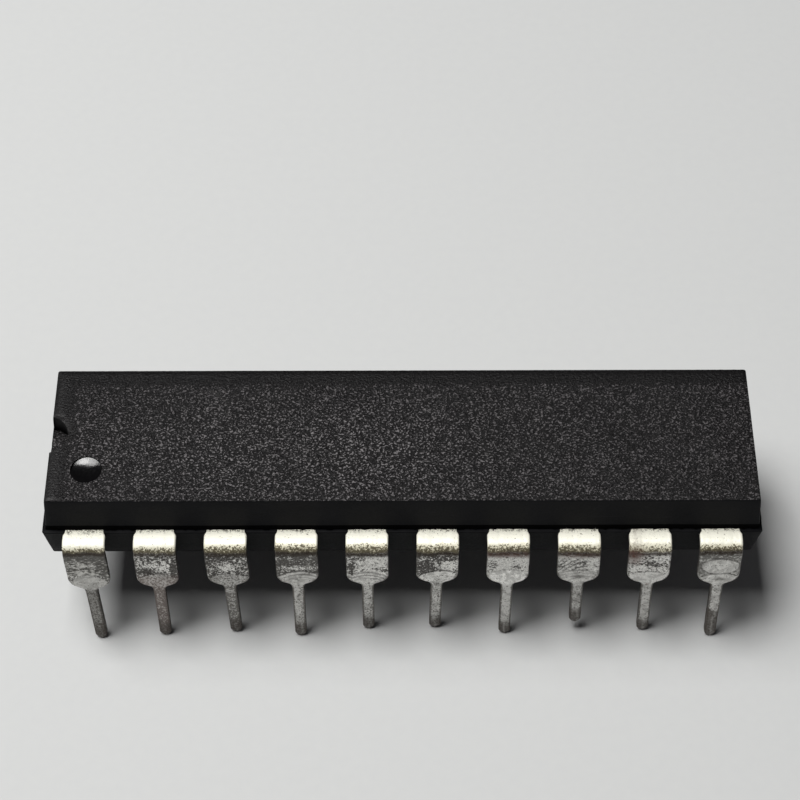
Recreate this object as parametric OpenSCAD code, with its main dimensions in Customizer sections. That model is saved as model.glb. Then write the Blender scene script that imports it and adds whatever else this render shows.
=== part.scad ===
// Dual in-line integrated circuit chip: a moulded body on a stamped lead frame.
// Origin on the surface that the lead tips stand on, under the middle of the body.
// X runs along the body, with the notch at the negative end; Y runs across it; Z is up.

/* [Body] */
// Width of the body at its parting line
body_width = 6.35; // [6:0.05:6.8]
// Distance from the centre of the last lead to the end of the body
end_margin = 1.52; // [1.1:0.02:2]
// Height of the upper half, from the parting line to the top
upper_height = 1.65; // [1.4:0.05:2]
// Height of the lower half, from the parting line to the underside
lower_height = 1.55; // [1.2:0.05:1.9]
// Draft of the upper walls in degrees
upper_draft = 4.5; // [3:0.5:8]
// Draft of the lower walls in degrees
lower_draft = 7.5; // [5:0.5:12]
// How far the upper half stands in from the lower half at the parting line
parting_ledge = 0.12; // [0.04:0.02:0.16]
// Flat across each upright corner
corner_flat = 0.2; // [0.1:0.05:0.4]

/* [Marks in the body] */
// Radius of the half-round notch at the pin 1 end
notch_radius = 0.9; // [0.6:0.02:1.2]
// Depth of the notch below the top
notch_depth = 0.85; // [0.5:0.05:1.2]
// Radius of the pin 1 dimple at the top surface
dimple_radius = 0.57; // [0.3:0.01:0.8]
// Depth of the dimple
dimple_depth = 0.12; // [0.08:0.01:0.3]
// Distance from the end of the top surface to the centre of the dimple
dimple_inset = 1.38; // [1:0.02:1.8]
// Distance from the front edge of the top surface to the centre of the dimple
dimple_edge = 1.3; // [1:0.05:1.8]
// Radius of the two ejector marks under the body
ejector_radius = 0.9; // [0.5:0.05:1.2]
// Depth of the ejector marks
ejector_depth = 0.06; // [0.03:0.01:0.1]

/* [Leads] */
// Leads on each long side
leads_per_side = 10; // [8:1:10]
// Distance between neighbouring leads
lead_pitch = 2.54; // [2.5:0.01:2.6]
// Thickness of the lead frame
lead_thickness = 0.25; // [0.2:0.01:0.3]
// Width of a lead from the body down to its shoulder
shoulder_width = 1.52; // [1.4:0.02:1.7]
// Width of a lead where it leaves the body
neck_width = 1.4; // [1.3:0.02:1.5]
// Distance from the body in which the neck widens to the full width
neck_reach = 0.12; // [0.05:0.01:0.14]
// Width of the pin below the shoulder
pin_width = 0.44; // [0.38:0.01:0.55]
// Length of the pin below the shoulder
pin_length = 3.05; // [2.5:0.05:3.4]
// Height of the rounded taper between the shoulder and the pin
taper_height = 0.4; // [0.35:0.05:0.7]
// Radius of the lower corners of the shoulder
shoulder_radius = 0.35; // [0.15:0.05:0.4]
// Height of the parting line above the tips
parting_height = 5.5; // [5:0.1:6]
// Flat stretch of a lead between the body and its bend
shoulder_reach = 0.26; // [0.15:0.01:0.4]
// Inner radius of the bend
bend_radius = 0.25; // [0.2:0.01:0.4]
// Width of the flat at the end of the pin
tip_width = 0.3; // [0.2:0.01:0.4]
// Length of the tapered end of the pin
tip_length = 0.3; // [0.15:0.05:0.5]

/* [Bent leads] */
// Outward lean of each front lead in degrees, from pin 1
front_splay = [3.5, 2, 0.5, 2.5, -1, -1.5, 1.5, 0, 0, 3];
// Sideways lean of each front lead in degrees, from pin 1
front_lean = [1.7, 0, 1.3, 0, 0, -0.7, 0, 1.1, 1.3, 1];
// Number of the front lead that is cut short
short_lead = 8; // [1:1:10]
// How much shorter that lead is
short_by = 0.6; // [0:0.1:1]
// Outward lean of every back lead in degrees
back_splay = 3.5; // [0:0.5:6]

/* [Lead frame inside the body] */
// Length of the wide stretch of a lead inside the body
tab_length = 0.7; // [0.5:0.05:0.8]
// Width of an inner finger
finger_width = 0.32; // [0.25:0.01:0.36]
// Gap between neighbouring fingers
finger_gap = 0.16; // [0.12:0.01:0.2]
// Gap between the fingers and the paddle
paddle_gap = 0.25; // [0.15:0.01:0.35]
// Length of the paddle
paddle_length = 5.2; // [4.6:0.1:5.6]
// Width of the paddle
paddle_width = 2.9; // [2.7:0.05:3]
// Drop of the paddle below the plane of the leads
paddle_drop = 0.2; // [0.1:0.05:0.3]
// Width of the tie bars that hold the paddle
tie_width = 0.4; // [0.3:0.05:0.5]

/* [Silicon and wires] */
// Length of the silicon
die_length = 3.4; // [2.4:0.1:4.2]
// Width of the silicon
die_width = 2; // [1.5:0.1:2.3]
// Thickness of the silicon
die_thickness = 0.3; // [0.2:0.02:0.4]
// Thickness of the glue under the silicon
attach_thickness = 0.04; // [0.02:0.01:0.08]
// Margin of the glue round the silicon
attach_margin = 0.08; // [0.04:0.02:0.2]
// Radius of the bond wires
wire_radius = 0.02; // [0.015:0.001:0.03]
// Radius of the ball at the start of each wire
ball_radius = 0.05; // [0.04:0.005:0.07]
// Height of the ball
ball_height = 0.03; // [0.02:0.005:0.05]
// Height of the wire loops above the silicon
loop_height = 0.3; // [0.2:0.02:0.5]
// Distance of the bond pads from the edge of the silicon
pad_inset = 0.14; // [0.1:0.01:0.25]
// Distance of the wire's foot from the end of its finger
foot_inset = 0.16; // [0.1:0.01:0.25]

/* [Hidden] */
lead_count = 2 * leads_per_side;
function numbered(stem, k) = str(stem, k < 9 ? "0" : "", k + 1);
lead_nodes = [for (k = [0 : lead_count - 1]) numbered("lead_", k)];
wire_nodes = [for (k = [0 : lead_count - 1]) numbered("bond_wire_", k)];

body_length = (leads_per_side - 1) * lead_pitch + 2 * end_margin;
top_z = parting_height + upper_height;
underside_z = parting_height - lower_height;
upper_inset = parting_ledge + upper_height * tan(upper_draft);
lower_inset = lower_height * tan(lower_draft);
body_side_y = body_width / 2;
corner_reach = (body_length + body_width) / 2 / sqrt(2) - corner_flat / 2;
// How far the cutting shapes run past the body
past_body = 1;

lead_top_z = parting_height;
lead_bottom_z = parting_height - lead_thickness;
bend_y = body_side_y + shoulder_reach;
bend_z = lead_bottom_z - bend_radius;
// Steps in the rounded lower corners of a shoulder
arc_steps = 5;

paddle_top_z = lead_top_z - paddle_drop;
die_bottom_z = paddle_top_z + attach_thickness;
die_top_z = die_bottom_z + die_thickness;
ejector_x = body_length / 3;
// Leads of each half row whose fingers end along the paddle's side; the others end at its end
side_fingers = 2;
finger_step = finger_width + finger_gap;
tab_end_y = body_side_y - tab_length;
side_tip_y = paddle_width / 2 + paddle_gap;
end_tip_x = paddle_length / 2 + paddle_gap;
// Slant of the fingers on their way in, in degrees
finger_slant = 30;
side_tip_step = paddle_length / 4;

// Faces round each bond wire
wire_sides = 6;

// Leads: where each one stands, and how it is bent

function is_back(k) = k >= leads_per_side;
function place_in_row(k) = k % leads_per_side;
function lead_x(j) = (j - (leads_per_side - 1) / 2) * lead_pitch;
function listed(values, j) = j < len(values) ? values[j] : 0;
function splay_of(k) = is_back(k) ? back_splay : listed(front_splay, k);
function lean_of(k) = is_back(k) ? 0 : listed(front_lean, k);
function cut_of(k) = k == short_lead - 1 ? short_by : 0;
function turn_of(k) = is_back(k) ? 180 : 0;

// Inner fingers: rank 0 is a lead next to the middle, and the highest rank is a corner lead

function rank(j) = floor(abs(j - (leads_per_side - 1) / 2));
function side_of(j) = lead_x(j) < 0 ? -1 : 1;
function top_rank() = rank(0);
function meets_side(j) = rank(j) < side_fingers;
function track_of_rank(r) = tie_width / 2 + finger_gap + finger_width / 2 + (top_rank() - r) * finger_step;
function track_y(j) = track_of_rank(rank(j));
function side_tip_x(j) = side_of(j) * (rank(j) + 0.5) * side_tip_step;
function knee_x(j) = abs(lead_x(j)) - (tab_end_y - track_y(j)) * tan(finger_slant);

// Middle line of a finger, from inside the tab to its tip
function finger_path(j) = meets_side(j)
    ? [[lead_x(j), -tab_end_y - tab_length / 2], [lead_x(j), -tab_end_y],
       [side_tip_x(j), -side_tip_y - finger_step], [side_tip_x(j), -side_tip_y]]
    : [[lead_x(j), -tab_end_y - tab_length / 2], [lead_x(j), -tab_end_y],
       [side_of(j) * knee_x(j), -track_y(j)], [side_of(j) * end_tip_x, -track_y(j)]];

// Outline of a ribbon of the given width along a path, with mitred corners
function unit(v) = v / norm(v);
function across(v) = [-v[1], v[0]];
function ribbon_side(path, half) = [for (i = [0 : len(path) - 1])
    let (before = unit(path[max(i, 1)] - path[max(i, 1) - 1]),
         after = unit(path[min(i + 1, len(path) - 1)] - path[min(i, len(path) - 2)]),
         mitre = unit(across(before) + across(after)))
    path[i] + mitre * half / (mitre * across(before))];
function reversed(list) = [for (i = [len(list) - 1 : -1 : 0]) list[i]];
function ribbon(path, width) = concat(ribbon_side(path, width / 2), reversed(ribbon_side(path, -width / 2)));

module lead_inside(k) {
    j = place_in_row(k);
    rotate([0, 0, turn_of(k)])
        translate([0, 0, lead_bottom_z])
            linear_extrude(lead_thickness)
                union() {
                    polygon(ribbon(finger_path(j), finger_width));
                    translate([lead_x(j) - neck_width / 2, -body_side_y])
                        square([neck_width, tab_length]);
                }
}

// Half of the leg's outline, from the bend down to the tip, as distance down and half width
function leg_half(shoulder_end, pin_start, tip_start, tip_end) = concat(
    [[0, shoulder_width / 2]],
    [for (i = [0 : arc_steps]) let (a = 90 * i / arc_steps)
        [shoulder_end - shoulder_radius + shoulder_radius * sin(a),
         shoulder_width / 2 - shoulder_radius + shoulder_radius * cos(a)]],
    [[pin_start, pin_width / 2], [tip_start, pin_width / 2], [tip_end, tip_width / 2]]);
function leant(points, lean) = [for (p = points) [p[0], p[1] + p[0] * tan(lean)]];
function both_halves(half) = concat(half, reversed([for (p = half) [p[0], -p[1]]]));

module leg(splay, lean, cut) {
    // Distance along the leg from the end of the bend to a height above the tips
    start_z = bend_z + (bend_radius + lead_thickness / 2) * sin(splay);
    function down_to(z) = (start_z - z) / cos(splay);
    half = leg_half(down_to(pin_length + taper_height / 2), down_to(pin_length),
                    down_to(cut + tip_length), down_to(cut - lead_thickness));
    rotate(120, [1, 1, 1])
        linear_extrude(lead_thickness)
            polygon(leant(both_halves(half), lean));
}

module lead_outside(splay, lean, cut) {
    swept = 90 - splay;
    widened_y = -body_side_y - neck_reach;
    translate([0, 0, lead_bottom_z])
        linear_extrude(lead_thickness)
            polygon([[-neck_width / 2, -body_side_y], [-shoulder_width / 2, widened_y],
                     [-shoulder_width / 2, -bend_y], [shoulder_width / 2, -bend_y],
                     [shoulder_width / 2, widened_y], [neck_width / 2, -body_side_y]]);
    translate([0, -bend_y, bend_z])
        rotate(180, [1, 0, 1]) {
            rotate_extrude(angle = swept, $fn = 48)
                translate([bend_radius, -shoulder_width / 2])
                    square([lead_thickness, shoulder_width]);
            rotate(swept)
                translate([bend_radius, 0, 0])
                    leg(splay, lean, cut);
        }
}

module lead(k) {
    below = 2 * (bend_y + parting_height);
    color("silver") {
        difference() {
            union() {
                lead_inside(k);
                rotate([0, 0, turn_of(k)])
                    translate([lead_x(place_in_row(k)), 0, 0])
                        lead_outside(splay_of(k), lean_of(k), cut_of(k));
            }
            rotate([0, 0, turn_of(k)])
                translate([lead_x(place_in_row(k)) - below / 2, -below, cut_of(k) - below])
                    cube(below);
        }
    }
}

// Body: four drafted sections across each other, less the marks and all that it is moulded round

module drafted_section(half_width, long) {
    rotate([90, 0, 0])
        linear_extrude(long, center = true)
            polygon([[-half_width + lower_inset, underside_z], [half_width - lower_inset, underside_z],
                     [half_width, parting_height], [half_width - parting_ledge, parting_height],
                     [half_width - upper_inset, top_z], [-half_width + upper_inset, top_z],
                     [-half_width + parting_ledge, parting_height], [-half_width, parting_height]]);
}

module corner_section(long) {
    upper = upper_inset * sqrt(2);
    ledge = parting_ledge * sqrt(2);
    lower = lower_inset * sqrt(2);
    rotate([90, 0, 0])
        linear_extrude(long, center = true)
            polygon([[-corner_reach + lower, underside_z], [corner_reach - lower, underside_z],
                     [corner_reach, parting_height], [corner_reach - ledge, parting_height],
                     [corner_reach - upper, top_z], [-corner_reach + upper, top_z],
                     [-corner_reach + ledge, parting_height], [-corner_reach, parting_height]]);
}

module outer_body() {
    intersection() {
        drafted_section(body_length / 2, body_width + past_body);
        rotate([0, 0, 90]) drafted_section(body_width / 2, body_length + past_body);
        rotate([0, 0, 45]) corner_section(2 * body_length);
        rotate([0, 0, -45]) corner_section(2 * body_length);
    }
}

module notch() {
    translate([-body_length / 2, 0, top_z - notch_depth])
        cylinder(r = notch_radius, h = notch_depth + past_body, $fn = 48);
}

module dimple() {
    sphere_radius = (dimple_radius * dimple_radius + dimple_depth * dimple_depth) / (2 * dimple_depth);
    translate([-body_length / 2 + upper_inset + dimple_inset, -body_side_y + upper_inset + dimple_edge,
               top_z - dimple_depth + sphere_radius])
        sphere(r = sphere_radius, $fn = 48);
}

module ejector_marks() {
    for (side = [-1, 1])
        translate([side * ejector_x, 0, underside_z - past_body])
            cylinder(r = ejector_radius, h = past_body + ejector_depth, $fn = 48);
}

module moulded_body() {
    color([0.1, 0.1, 0.11])
        difference() {
            outer_body();
            notch();
            dimple();
            ejector_marks();
            for (k = [0 : lead_count - 1]) lead_inside(k);
            paddle_and_ties();
            glue();
            silicon();
            for (k = [0 : lead_count - 1]) wire(k);
        }
}

// Paddle, glue and silicon

module paddle_and_ties() {
    ramp_start = paddle_length / 2 + paddle_drop;
    ramp_end = ramp_start + paddle_drop;
    half_top = [[ramp_start, paddle_top_z], [ramp_end, lead_top_z], [body_length / 2, lead_top_z]];
    half_bottom = [for (p = half_top) [p[0], p[1] - lead_thickness]];
    function flipped(points) = [for (p = points) [-p[0], p[1]]];
    intersection() {
        union() {
            rotate([90, 0, 0])
                linear_extrude(tie_width, center = true)
                    polygon(concat(half_top, reversed(half_bottom), flipped(half_bottom),
                                   reversed(flipped(half_top))));
            translate([-paddle_length / 2, -paddle_width / 2, paddle_top_z - lead_thickness])
                cube([paddle_length, paddle_width, lead_thickness]);
        }
        outer_body();
    }
}

module glue() {
    translate([-die_length / 2 - attach_margin, -die_width / 2 - attach_margin, paddle_top_z])
        cube([die_length + 2 * attach_margin, die_width + 2 * attach_margin, attach_thickness]);
}

module silicon() {
    translate([-die_length / 2, -die_width / 2, die_bottom_z])
        cube([die_length, die_width, die_thickness]);
}

module die_paddle() {
    color([0.8, 0.5, 0.35]) paddle_and_ties();
}

module die_attach() {
    color([0.75, 0.75, 0.7]) glue();
}

module silicon_die() {
    color([0.35, 0.38, 0.45]) silicon();
}

// Bond wires: up from a ball on the silicon, over in a loop, and down to a finger

function pad_spot(j) = meets_side(j)
    ? [side_of(j) * (rank(j) + 0.5) * (die_length / 2 - pad_inset) / side_fingers, -die_width / 2 + pad_inset]
    : [side_of(j) * (die_length / 2 - pad_inset),
       -(die_width / 2 - pad_inset) * track_y(j) / track_of_rank(side_fingers - 1)];
function foot_spot(j) = meets_side(j)
    ? [side_tip_x(j), -side_tip_y - foot_inset]
    : [side_of(j) * (end_tip_x + foot_inset), -track_y(j)];

// Rings along a wire: distance from the pad as a share, height, lean of the ring and radius
wire_rings = [
    [0, die_top_z, 0, ball_radius],
    [0, die_top_z + ball_height, 0, ball_radius],
    [0, die_top_z + 2 * ball_height, 0, wire_radius],
    [0.02, die_top_z + 0.8 * loop_height, 30, wire_radius],
    [0.12, die_top_z + loop_height, 80, wire_radius],
    [0.6, (die_top_z + lead_top_z) / 2 + 0.7 * loop_height, 115, wire_radius],
    [0.95, lead_top_z + 0.25 * loop_height, 150, wire_radius],
    [1, lead_top_z, 180, wire_radius]];

module wire(k) {
    j = place_in_row(k);
    pad = pad_spot(j);
    foot = foot_spot(j);
    along = unit(foot - pad);
    sideways = [-along[1], along[0], 0];
    points = [for (ring = wire_rings)
        let (centre = concat(pad + (foot - pad) * ring[0], ring[1]),
             upward = [-along[0] * cos(ring[2]), -along[1] * cos(ring[2]), sin(ring[2])])
        for (s = [0 : wire_sides - 1])
            let (a = 360 * s / wire_sides)
            centre + ring[3] * (cos(a) * sideways + sin(a) * upward)];
    last = len(wire_rings) - 1;
    walls = [for (r = [0 : last - 1], s = [0 : wire_sides - 1])
        let (a = r * wire_sides + s, b = r * wire_sides + (s + 1) % wire_sides)
        each [[a, a + wire_sides, b], [b, a + wire_sides, b + wire_sides]]];
    caps = [[for (s = [0 : wire_sides - 1]) s],
            reversed([for (s = [0 : wire_sides - 1]) last * wire_sides + s])];
    rotate([0, 0, turn_of(k)])
        polyhedron(points, concat(caps, walls));
}

module bond_wire(k) {
    color("gold") wire(k);
}

moulded_body();
die_paddle();
die_attach();
silicon_die();
for (k = [0 : lead_count - 1]) {
    lead(k);
    bond_wire(k);
}
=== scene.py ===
import math
import bpy
import numpy as np
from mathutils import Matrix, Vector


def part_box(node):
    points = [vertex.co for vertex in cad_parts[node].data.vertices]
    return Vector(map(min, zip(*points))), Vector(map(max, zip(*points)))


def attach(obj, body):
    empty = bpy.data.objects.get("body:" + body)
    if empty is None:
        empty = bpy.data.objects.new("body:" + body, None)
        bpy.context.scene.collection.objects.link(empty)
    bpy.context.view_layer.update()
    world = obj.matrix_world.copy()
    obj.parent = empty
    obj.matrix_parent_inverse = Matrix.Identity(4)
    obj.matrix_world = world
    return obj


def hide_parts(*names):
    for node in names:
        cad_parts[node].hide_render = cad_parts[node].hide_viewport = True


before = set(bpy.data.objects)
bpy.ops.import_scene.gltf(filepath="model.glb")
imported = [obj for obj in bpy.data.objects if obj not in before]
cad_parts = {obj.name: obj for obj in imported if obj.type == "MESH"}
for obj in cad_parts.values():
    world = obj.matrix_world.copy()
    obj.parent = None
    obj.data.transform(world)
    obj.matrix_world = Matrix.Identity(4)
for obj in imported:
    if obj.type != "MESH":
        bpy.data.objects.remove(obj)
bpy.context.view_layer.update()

# Shapes are worked out in millimetres
mm = 0.001


# Camera, light and floor

cameraLook = {
    "lens": 101.55,  # mm on a 36 mm wide sensor
    "place": (0.03, -48.23, 72.99),  # mm from the point under the middle of the body
    "turn": (37.073, 0.142, -0.068),  # degrees about x, y and z
}
lightLook = {
    "height": 250.0,  # mm above the floor
    # Reach of each lamp to the left and to the back, in degrees from straight up seen from the chip
    "lamps": [
        {"name": "lamp_near", "left": (4.5, 18.0), "behind": (-12.6, 15.1), "power": 0.472},
        {"name": "lamp_far", "left": (19.0, 29.5), "behind": (-13.8, 24.8), "power": 0.354},
    ],
    "colour": (1.0, 0.99, 0.98),
    "world": (0.044, 0.043, 0.045),
}
floorLook = {
    "half": 400.0,  # half its side in mm
    "fibre": 0.4, "relief": 0.004,  # size and height of its faint lumps in mm
    "colours": ((0.603, 0.614, 0.613), (0.629, 0.64, 0.635)),
}


def addObject(name, data):
    added = bpy.data.objects.new(name, data)
    bpy.context.collection.objects.link(added)
    return added


def makeCamera(look):
    camera = addObject("camera", bpy.data.cameras.new("camera"))
    camera.data.lens = look["lens"]
    camera.data.sensor_width = 36.0
    camera.data.clip_start = 0.001
    camera.location = [v * mm for v in look["place"]]
    camera.rotation_euler = [math.radians(v) for v in look["turn"]]
    bpy.context.scene.camera = camera


def makeLight(look):
    # Two long lamps side by side, flat and overhead, and an even dim room
    def edge(angle):
        return look["height"] * math.tan(math.radians(angle)) * mm
    for given in look["lamps"]:
        lamp = addObject(given["name"], bpy.data.lights.new(given["name"], "AREA"))
        left, behind = [edge(v) for v in given["left"]], [edge(v) for v in given["behind"]]
        lamp.data.shape = "RECTANGLE"
        lamp.data.size = left[1] - left[0]
        lamp.data.size_y = behind[1] - behind[0]
        lamp.data.energy = given["power"]
        lamp.data.color = look["colour"]
        lamp.location = (-(left[0] + left[1]) / 2, (behind[0] + behind[1]) / 2, look["height"] * mm)
    world = bpy.data.worlds.new("room")
    bpy.context.scene.world = world
    world.use_nodes = True
    background = world.node_tree.nodes["Background"]
    background.inputs["Color"].default_value = (*look["world"], 1.0)
    background.inputs["Strength"].default_value = 1.0


# Small helpers for shapes

def smooth(low, high, value):
    # 0 below low, 1 above high and an S curve between them
    t = np.clip((np.asarray(value, float) - low) / (high - low), 0.0, 1.0)
    return t * t * (3.0 - 2.0 * t)


def hill(value, middle, width):
    # 1 at the middle and a bell curve beside it, down to a third at one width
    return np.exp(-((value - middle) / width) ** 2)


def linesThrough(marks, step):
    # Grid lines through every mark, with even steps no longer than the given one between marks
    marks = sorted(marks)
    parts = []
    for a, b in zip(marks, marks[1:]):
        parts.append(np.linspace(a, b, max(math.ceil((b - a) / step), 1) + 1)[:-1])
    return np.append(np.concatenate(parts), marks[-1])


def wavyField(seed, waves, shortest, longest):
    # An even random relief of height about 1, as a sum of plane waves
    rng = np.random.default_rng(seed)
    angle = rng.uniform(0.0, 2.0 * math.pi, waves)
    length = rng.uniform(shortest, longest, waves)
    phase = rng.uniform(0.0, 2.0 * math.pi, waves)
    kx = 2.0 * math.pi * np.cos(angle) / length
    ky = 2.0 * math.pi * np.sin(angle) / length

    def field(x, y):
        total = np.zeros(np.shape(x))
        for a, b, c in zip(kx, ky, phase):
            total += np.cos(a * x + b * y + c)
        return total * math.sqrt(2.0 / waves)
    return field


def ringFaces(index):
    # Faces with four corners between each closed ring of points and the next
    after = np.roll(index, -1, 1)
    return np.stack([index[:-1], index[1:], after[1:], after[:-1]], -1).reshape(-1, 4).tolist()


def makePiece(name, points, faces, materials, faceMaterial=None, layers=None, node=None):
    # Points in mm; layers are named values, one for each point
    mesh = bpy.data.meshes.new(name)
    mesh.from_pydata(np.asarray(points) * mm, [], faces)
    mesh.polygons.foreach_set("use_smooth", np.ones(len(mesh.polygons), bool))
    for material in materials:
        mesh.materials.append(material)
    if faceMaterial is not None:
        mesh.polygons.foreach_set("material_index", np.asarray(faceMaterial, np.int32))
    for label, values in (layers or {}).items():
        layer = mesh.attributes.new(label, "FLOAT", "POINT")
        layer.data.foreach_set("value", np.asarray(values, np.float32).ravel())
    mesh.update()
    mesh.validate()
    piece = addObject(name, mesh)
    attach(piece, "root")
    if node:
        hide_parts(node)
    print(name, len(mesh.polygons), "faces")
    return piece


# Small helpers for materials

class Paint:
    # A material, with short calls for the nodes used here
    def __init__(self, name, **values):
        self.material = bpy.data.materials.new(name)
        self.material.use_nodes = True
        self.tree = self.material.node_tree
        self.shader = self.tree.nodes["Principled BSDF"]
        for key, value in values.items():
            self.shader.inputs[key.replace("_", " ")].default_value = value
        self.place = self.tree.nodes.new("ShaderNodeTexCoord").outputs["Object"]

    def link(self, source, target):
        self.tree.links.new(source, target)

    def put(self, socket, value):
        if isinstance(value, bpy.types.NodeSocket):
            self.link(value, socket)
        elif isinstance(value, tuple) and len(value) == 3 and len(socket.default_value) == 4:
            socket.default_value = (*value, 1.0)
        else:
            socket.default_value = value

    def stretched(self, scale):
        node = self.tree.nodes.new("ShaderNodeMapping")
        node.inputs["Scale"].default_value = scale
        self.link(self.place, node.inputs["Vector"])
        return node.outputs["Vector"]

    def noise(self, size, detail=2.0, rough=0.5, bend=0.0, place=None):
        # size is that of one lump in mm
        node = self.tree.nodes.new("ShaderNodeTexNoise")
        node.inputs["Scale"].default_value = 1.0 / (size * mm)
        node.inputs["Detail"].default_value = detail
        node.inputs["Roughness"].default_value = rough
        node.inputs["Distortion"].default_value = bend
        self.link(place or self.place, node.inputs["Vector"])
        return node.outputs["Fac"]

    def layer(self, name):
        node = self.tree.nodes.new("ShaderNodeAttribute")
        node.attribute_name = name
        return node.outputs["Fac"]

    def ramp(self, value, low, high, lowTo=0.0, highTo=1.0):
        # An S curve from lowTo at low to highTo at high
        node = self.tree.nodes.new("ShaderNodeMapRange")
        node.interpolation_type = "SMOOTHSTEP"
        for key, given in (("Value", value), ("From Min", low), ("From Max", high),
                           ("To Min", lowTo), ("To Max", highTo)):
            self.put(node.inputs[key], given)
        return node.outputs["Result"]

    def maths(self, kind, a, b):
        node = self.tree.nodes.new("ShaderNodeMath")
        node.operation = kind
        self.put(node.inputs[0], a)
        self.put(node.inputs[1], b)
        return node.outputs[0]

    def plus(self, a, b):
        return self.maths("ADD", a, b)

    def minus(self, a, b):
        return self.maths("SUBTRACT", a, b)

    def times(self, a, b):
        return self.maths("MULTIPLY", a, b)

    def mix(self, share, first, second):
        # The first colour where the share is 0 and the second where it is 1
        node = self.tree.nodes.new("ShaderNodeMix")
        node.data_type = "RGBA"
        self.put(node.inputs["Factor"], share)
        self.put(node.inputs["A"], first)
        self.put(node.inputs["B"], second)
        return node.outputs["Result"]

    def bump(self, height, depth, before=None):
        # depth in mm for a height of 1
        node = self.tree.nodes.new("ShaderNodeBump")
        node.inputs["Distance"].default_value = depth * mm
        self.link(height, node.inputs["Height"])
        if before is not None:
            self.link(before, node.inputs["Normal"])
        return node.outputs["Normal"]

    def finish(self, colour=None, roughness=None, normal=None, metallic=None):
        for key, value in (("Base Color", colour), ("Roughness", roughness), ("Normal", normal),
                           ("Metallic", metallic)):
            if value is not None:
                self.put(self.shader.inputs[key], value)
        return self.material


def floorPaint(look):
    paint = Paint("pale_floor", Roughness=0.9, Specular_IOR_Level=0.1)
    fibres = paint.noise(look["fibre"], 3.0)
    return paint.finish(paint.mix(fibres, *look["colours"]), normal=paint.bump(fibres, look["relief"]))


def makeFloor(look):
    half = look["half"]
    mesh = bpy.data.meshes.new("floor")
    mesh.from_pydata([(x * half * mm, y * half * mm, 0.0) for x, y in ((-1, -1), (1, -1), (1, 1), (-1, 1))],
                     [], [(0, 1, 2, 3)])
    mesh.materials.append(floorPaint(look))
    floor = addObject("floor", mesh)


# Moulded body: one closed mesh of a grained top, drafted walls and a plain underside

bodyLow = np.array(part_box("moulded_body")[0]) / mm
bodyHigh = np.array(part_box("moulded_body")[1]) / mm
body = {
    "halfLength": (bodyHigh[0] - bodyLow[0]) / 2, "halfWidth": (bodyHigh[1] - bodyLow[1]) / 2,
    "top": bodyHigh[2], "parting": 5.5, "underside": bodyLow[2],
    "upperInset": 0.25, "lowerInset": 0.204,  # of the top and the underside from the parting line
    "ledge": 0.12,  # how much narrower the upper half is there
    "corner": 0.075, "edge": 0.03, "lowEdge": 0.035,  # radii of the upright corners, top and lower edges
    "step": 0.05,  # spacing of the top's grid lines
    "edgeTurns": ((0.45, 0.9), (0.9, 0.6), (1.4, 0.2)),  # angles round the top edge and their grain
    "upperRows": (7.0, 6.7, 6.3, 5.95, 5.74, 5.71, 5.6),  # heights of the points in the upper walls
    "shadeBandTop": 5.73,  # the walls are painted black from here to the parting line, as painted shade

    "notchRadius": 0.93, "notchDepth": 0.92,
    "notchWall": 0.012,  # lean of the walls of the notch and the dimple
    "notchFade": 1.13,  # how far the grid lines bend round it, in half sides
    "notchSoft": 0.13, "notchSink": 0.006,  # width and depth of the smooth band beside the notch
    "dimplePlace": (-11.31, -1.57), "dimpleRadius": 0.57,
    "dimpleFade": 0.4,  # the same beyond the dimple, in radii
    "dimpleRim": 0.03, "dimpleDepth": 0.095,  # step at its rim, and depth of the hollow inside
    "dimpleBack": 0.28,  # how far behind its middle it is deepest, in radii
    "dimpleBend": 0.058, "dimpleTilt": 0.034,  # less depth at both sides, and less at the right
    "ejectorRadius": 0.9, "ejectorDepth": 0.06, "ejectorX": (bodyHigh[0] - bodyLow[0]) / 3,
    "ejectorSides": 48,
    "tieHalf": 0.2, "tieBottom": 5.25, "tieRecess": 0.03,

    "grain": 0.003,  # height of the coarse part of the grain
    "edgeFade": (0.25, 0.8),  # share of grain and painted glints kept along the left and the back edge, and width of the change
    "roll": (0.22, 0.03),  # width and depth of its fall towards the edges
    "flash": 0.016,  # reach of the ragged film at the foot of the upper walls
    "chips": 0.012, "waves": 0.004,  # depth of chips in the ledge and waves in the walls
    "paintedSheen": ((-4.0, 7.5), (-0.9, 2.2)),  # middle and reach of the painted sheen, where the painted glints are brightest
    # Random reliefs: seed, number of waves, shortest and longest
    "grainRelief": (7, 260, 0.13, 0.26), "flashRelief": (11, 90, 0.07, 0.5),
    "waveRelief": (12, 24, 2.0, 6.0), "chipRelief": (13, 60, 0.1, 1.2),
}
# Half sides of the flat top, inside its rounded edge
topX, topY = [body[key] - body["upperInset"] - body["edge"] for key in ("halfLength", "halfWidth")]


def squareToRound(p, half, ease):
    # Turns a square of the given half side into a disc, and fades the change out beyond it
    reach = np.abs(p).max(-1)
    far = np.maximum(np.hypot(p[..., 0], p[..., 1]), 1e-9)
    fade = smooth(half, half * (1 + ease), reach)
    return p * (reach / far * (1 - fade) + fade)[..., None], reach


def notchRing(p, inset):
    # Turns the half square beside the end of the body into the part of the notch's circle inside it
    radius = body["notchRadius"]
    half = math.sqrt(radius ** 2 - inset ** 2)
    reach = np.abs(p).max(-1)
    far = np.maximum(np.hypot(p[..., 0], p[..., 1]), 1e-9)
    along = p[..., 0] / far * inset
    ray = -along + np.sqrt(along ** 2 + half ** 2)
    return ray / far, reach


def upperSlope():
    # How far the upper walls lean in for each mm of height
    return (body["upperInset"] - body["ledge"]) / (body["top"] - body["parting"])


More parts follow.
